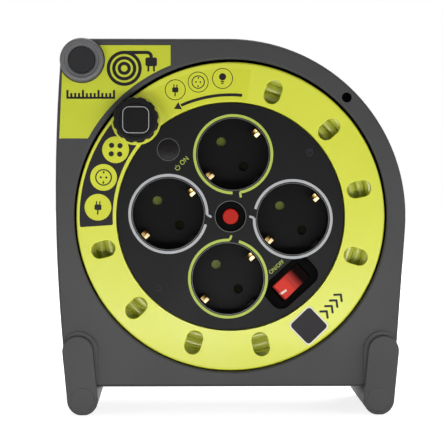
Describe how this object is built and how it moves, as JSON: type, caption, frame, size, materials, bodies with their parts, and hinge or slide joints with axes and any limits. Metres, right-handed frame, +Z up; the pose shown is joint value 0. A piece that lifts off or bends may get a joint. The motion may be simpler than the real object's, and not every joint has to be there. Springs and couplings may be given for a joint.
{
  "type": "extension cord reel",
  "caption": "Free-standing cassette reel for an extension cord: a drum with earthed sockets, switch and winding knob turns inside a case with a carry grip.",
  "frame": {"origin": "on the floor under the middle of the reel, feet included", "axes": "+Z up, the socket panel faces -Y, the drum turns about +Y"},
  "size_m": [0.1996, 0.0992, 0.2141],
  "materials": {
    "case_plastic": "satin",
    "soft_grip": "matte",
    "black_plastic": "satin",
    "drum_plastic": "satin",
    "cable_sheath": "gloss",
    "lead_insulation": "satin",
    "brass": "satin",
    "steel": "satin",
    "red_plastic": "gloss",
    "lamp_glass": "gloss",
    "label_film": "satin"
  },
  "bodies": {
    "case": {"front_shell": "case_plastic", "rear_shell": "case_plastic", "case_screw": "steel", "cable_guide": "black_plastic", "grip_core": "case_plastic", "grip_sleeve": "soft_grip", "grip_front_ring": "case_plastic", "grip_rear_ring": "case_plastic", "grip_bolt": "steel", "grip_nut": "steel", "grip_plugs": "case_plastic", "left_foot_bar": "case_plastic", "left_foot_front_cover": "case_plastic", "left_foot_rear_cover": "case_plastic", "right_foot_bar": "case_plastic", "right_foot_front_cover": "case_plastic", "right_foot_rear_cover": "case_plastic", "foot_screws": "steel", "foot_plugs": "case_plastic", "axle": "black_plastic", "axle_washer": "steel", "axle_bolt": "steel", "axle_nut": "steel", "case_label": "label_film"},
    "drum": {"front_ring": "drum_plastic", "hub": "drum_plastic", "rear_cheek": "drum_plastic", "cheek_screws": "steel", "bearing_bush": "brass", "socket_panel": "black_plastic", "panel_screws": "steel", "socket_cup_top": "black_plastic", "socket_cup_right": "black_plastic", "socket_cup_bottom": "black_plastic", "socket_cup_left": "black_plastic", "earth_clips": "brass", "contact_carrier": "black_plastic", "pin_contacts": "brass", "live_bar": "brass", "neutral_bar": "brass", "earth_bar": "brass", "thermal_cutout": "black_plastic", "lamp_lens": "lamp_glass", "lamp_body": "black_plastic", "switch_body": "black_plastic", "back_cover": "black_plastic", "knob_pin": "steel", "cable_core": "cable_sheath", "cable_winding": "cable_sheath", "cable_tail": "cable_sheath", "inner_leads": "lead_insulation"},
    "knob": {"winding_knob": "black_plastic", "knob_cap": "black_plastic"},
    "button": {"reset_button": "red_plastic"},
    "rocker": {"rocker": "red_plastic"},
    "shutter_top": {"shutter_top": "drum_plastic"},
    "shutter_right": {"shutter_right": "drum_plastic"},
    "shutter_bottom": {"shutter_bottom": "drum_plastic"},
    "shutter_left": {"shutter_left": "drum_plastic"}
  },
  "joints": [
    {"name": "drum_spin", "type": "hinge", "parent": "case", "child": "drum", "pos_m": [0, 0.00263, 0.11275], "axis": [0, 1, 0], "continuous": true},
    {"name": "knob_spin", "type": "hinge", "parent": "drum", "child": "knob", "pos_m": [-0.0538, -0.04437, 0.16769], "axis": [0, 1, 0], "continuous": true},
    {"name": "reset_press", "type": "slide", "parent": "drum", "child": "button", "axis": [0, 1, 0], "range_m": [0, 0.0018], "stiffness_N_per_m": 300, "springref_m": -0.001},
    {"name": "rocker_tilt", "type": "hinge", "parent": "drum", "child": "rocker", "pos_m": [0.03452, -0.02987, 0.07494], "axis": [0.6743, 0, -0.7385], "range_deg": [0, 20]},
    {"name": "shutter_top_turn", "type": "hinge", "parent": "drum", "child": "shutter_top", "pos_m": [0.00149, -0.01487, 0.14832], "axis": [0, 1, 0], "range_deg": [0, 36], "stiffness_Nm_per_rad": 0.002, "springref_deg": -17.19},
    {"name": "shutter_right_turn", "type": "hinge", "parent": "drum", "child": "shutter_right", "pos_m": [0.03557, -0.01487, 0.11126], "axis": [0, 1, 0], "range_deg": [0, 36], "stiffness_Nm_per_rad": 0.002, "springref_deg": -17.19},
    {"name": "shutter_bottom_turn", "type": "hinge", "parent": "drum", "child": "shutter_bottom", "pos_m": [-0.00149, -0.01487, 0.07718], "axis": [0, 1, 0], "range_deg": [0, 36], "stiffness_Nm_per_rad": 0.002, "springref_deg": -17.19},
    {"name": "shutter_left_turn", "type": "hinge", "parent": "drum", "child": "shutter_left", "pos_m": [-0.03557, -0.01487, 0.11424], "axis": [0, 1, 0], "range_deg": [0, 36], "stiffness_Nm_per_rad": 0.002, "springref_deg": -17.19}
  ]
}
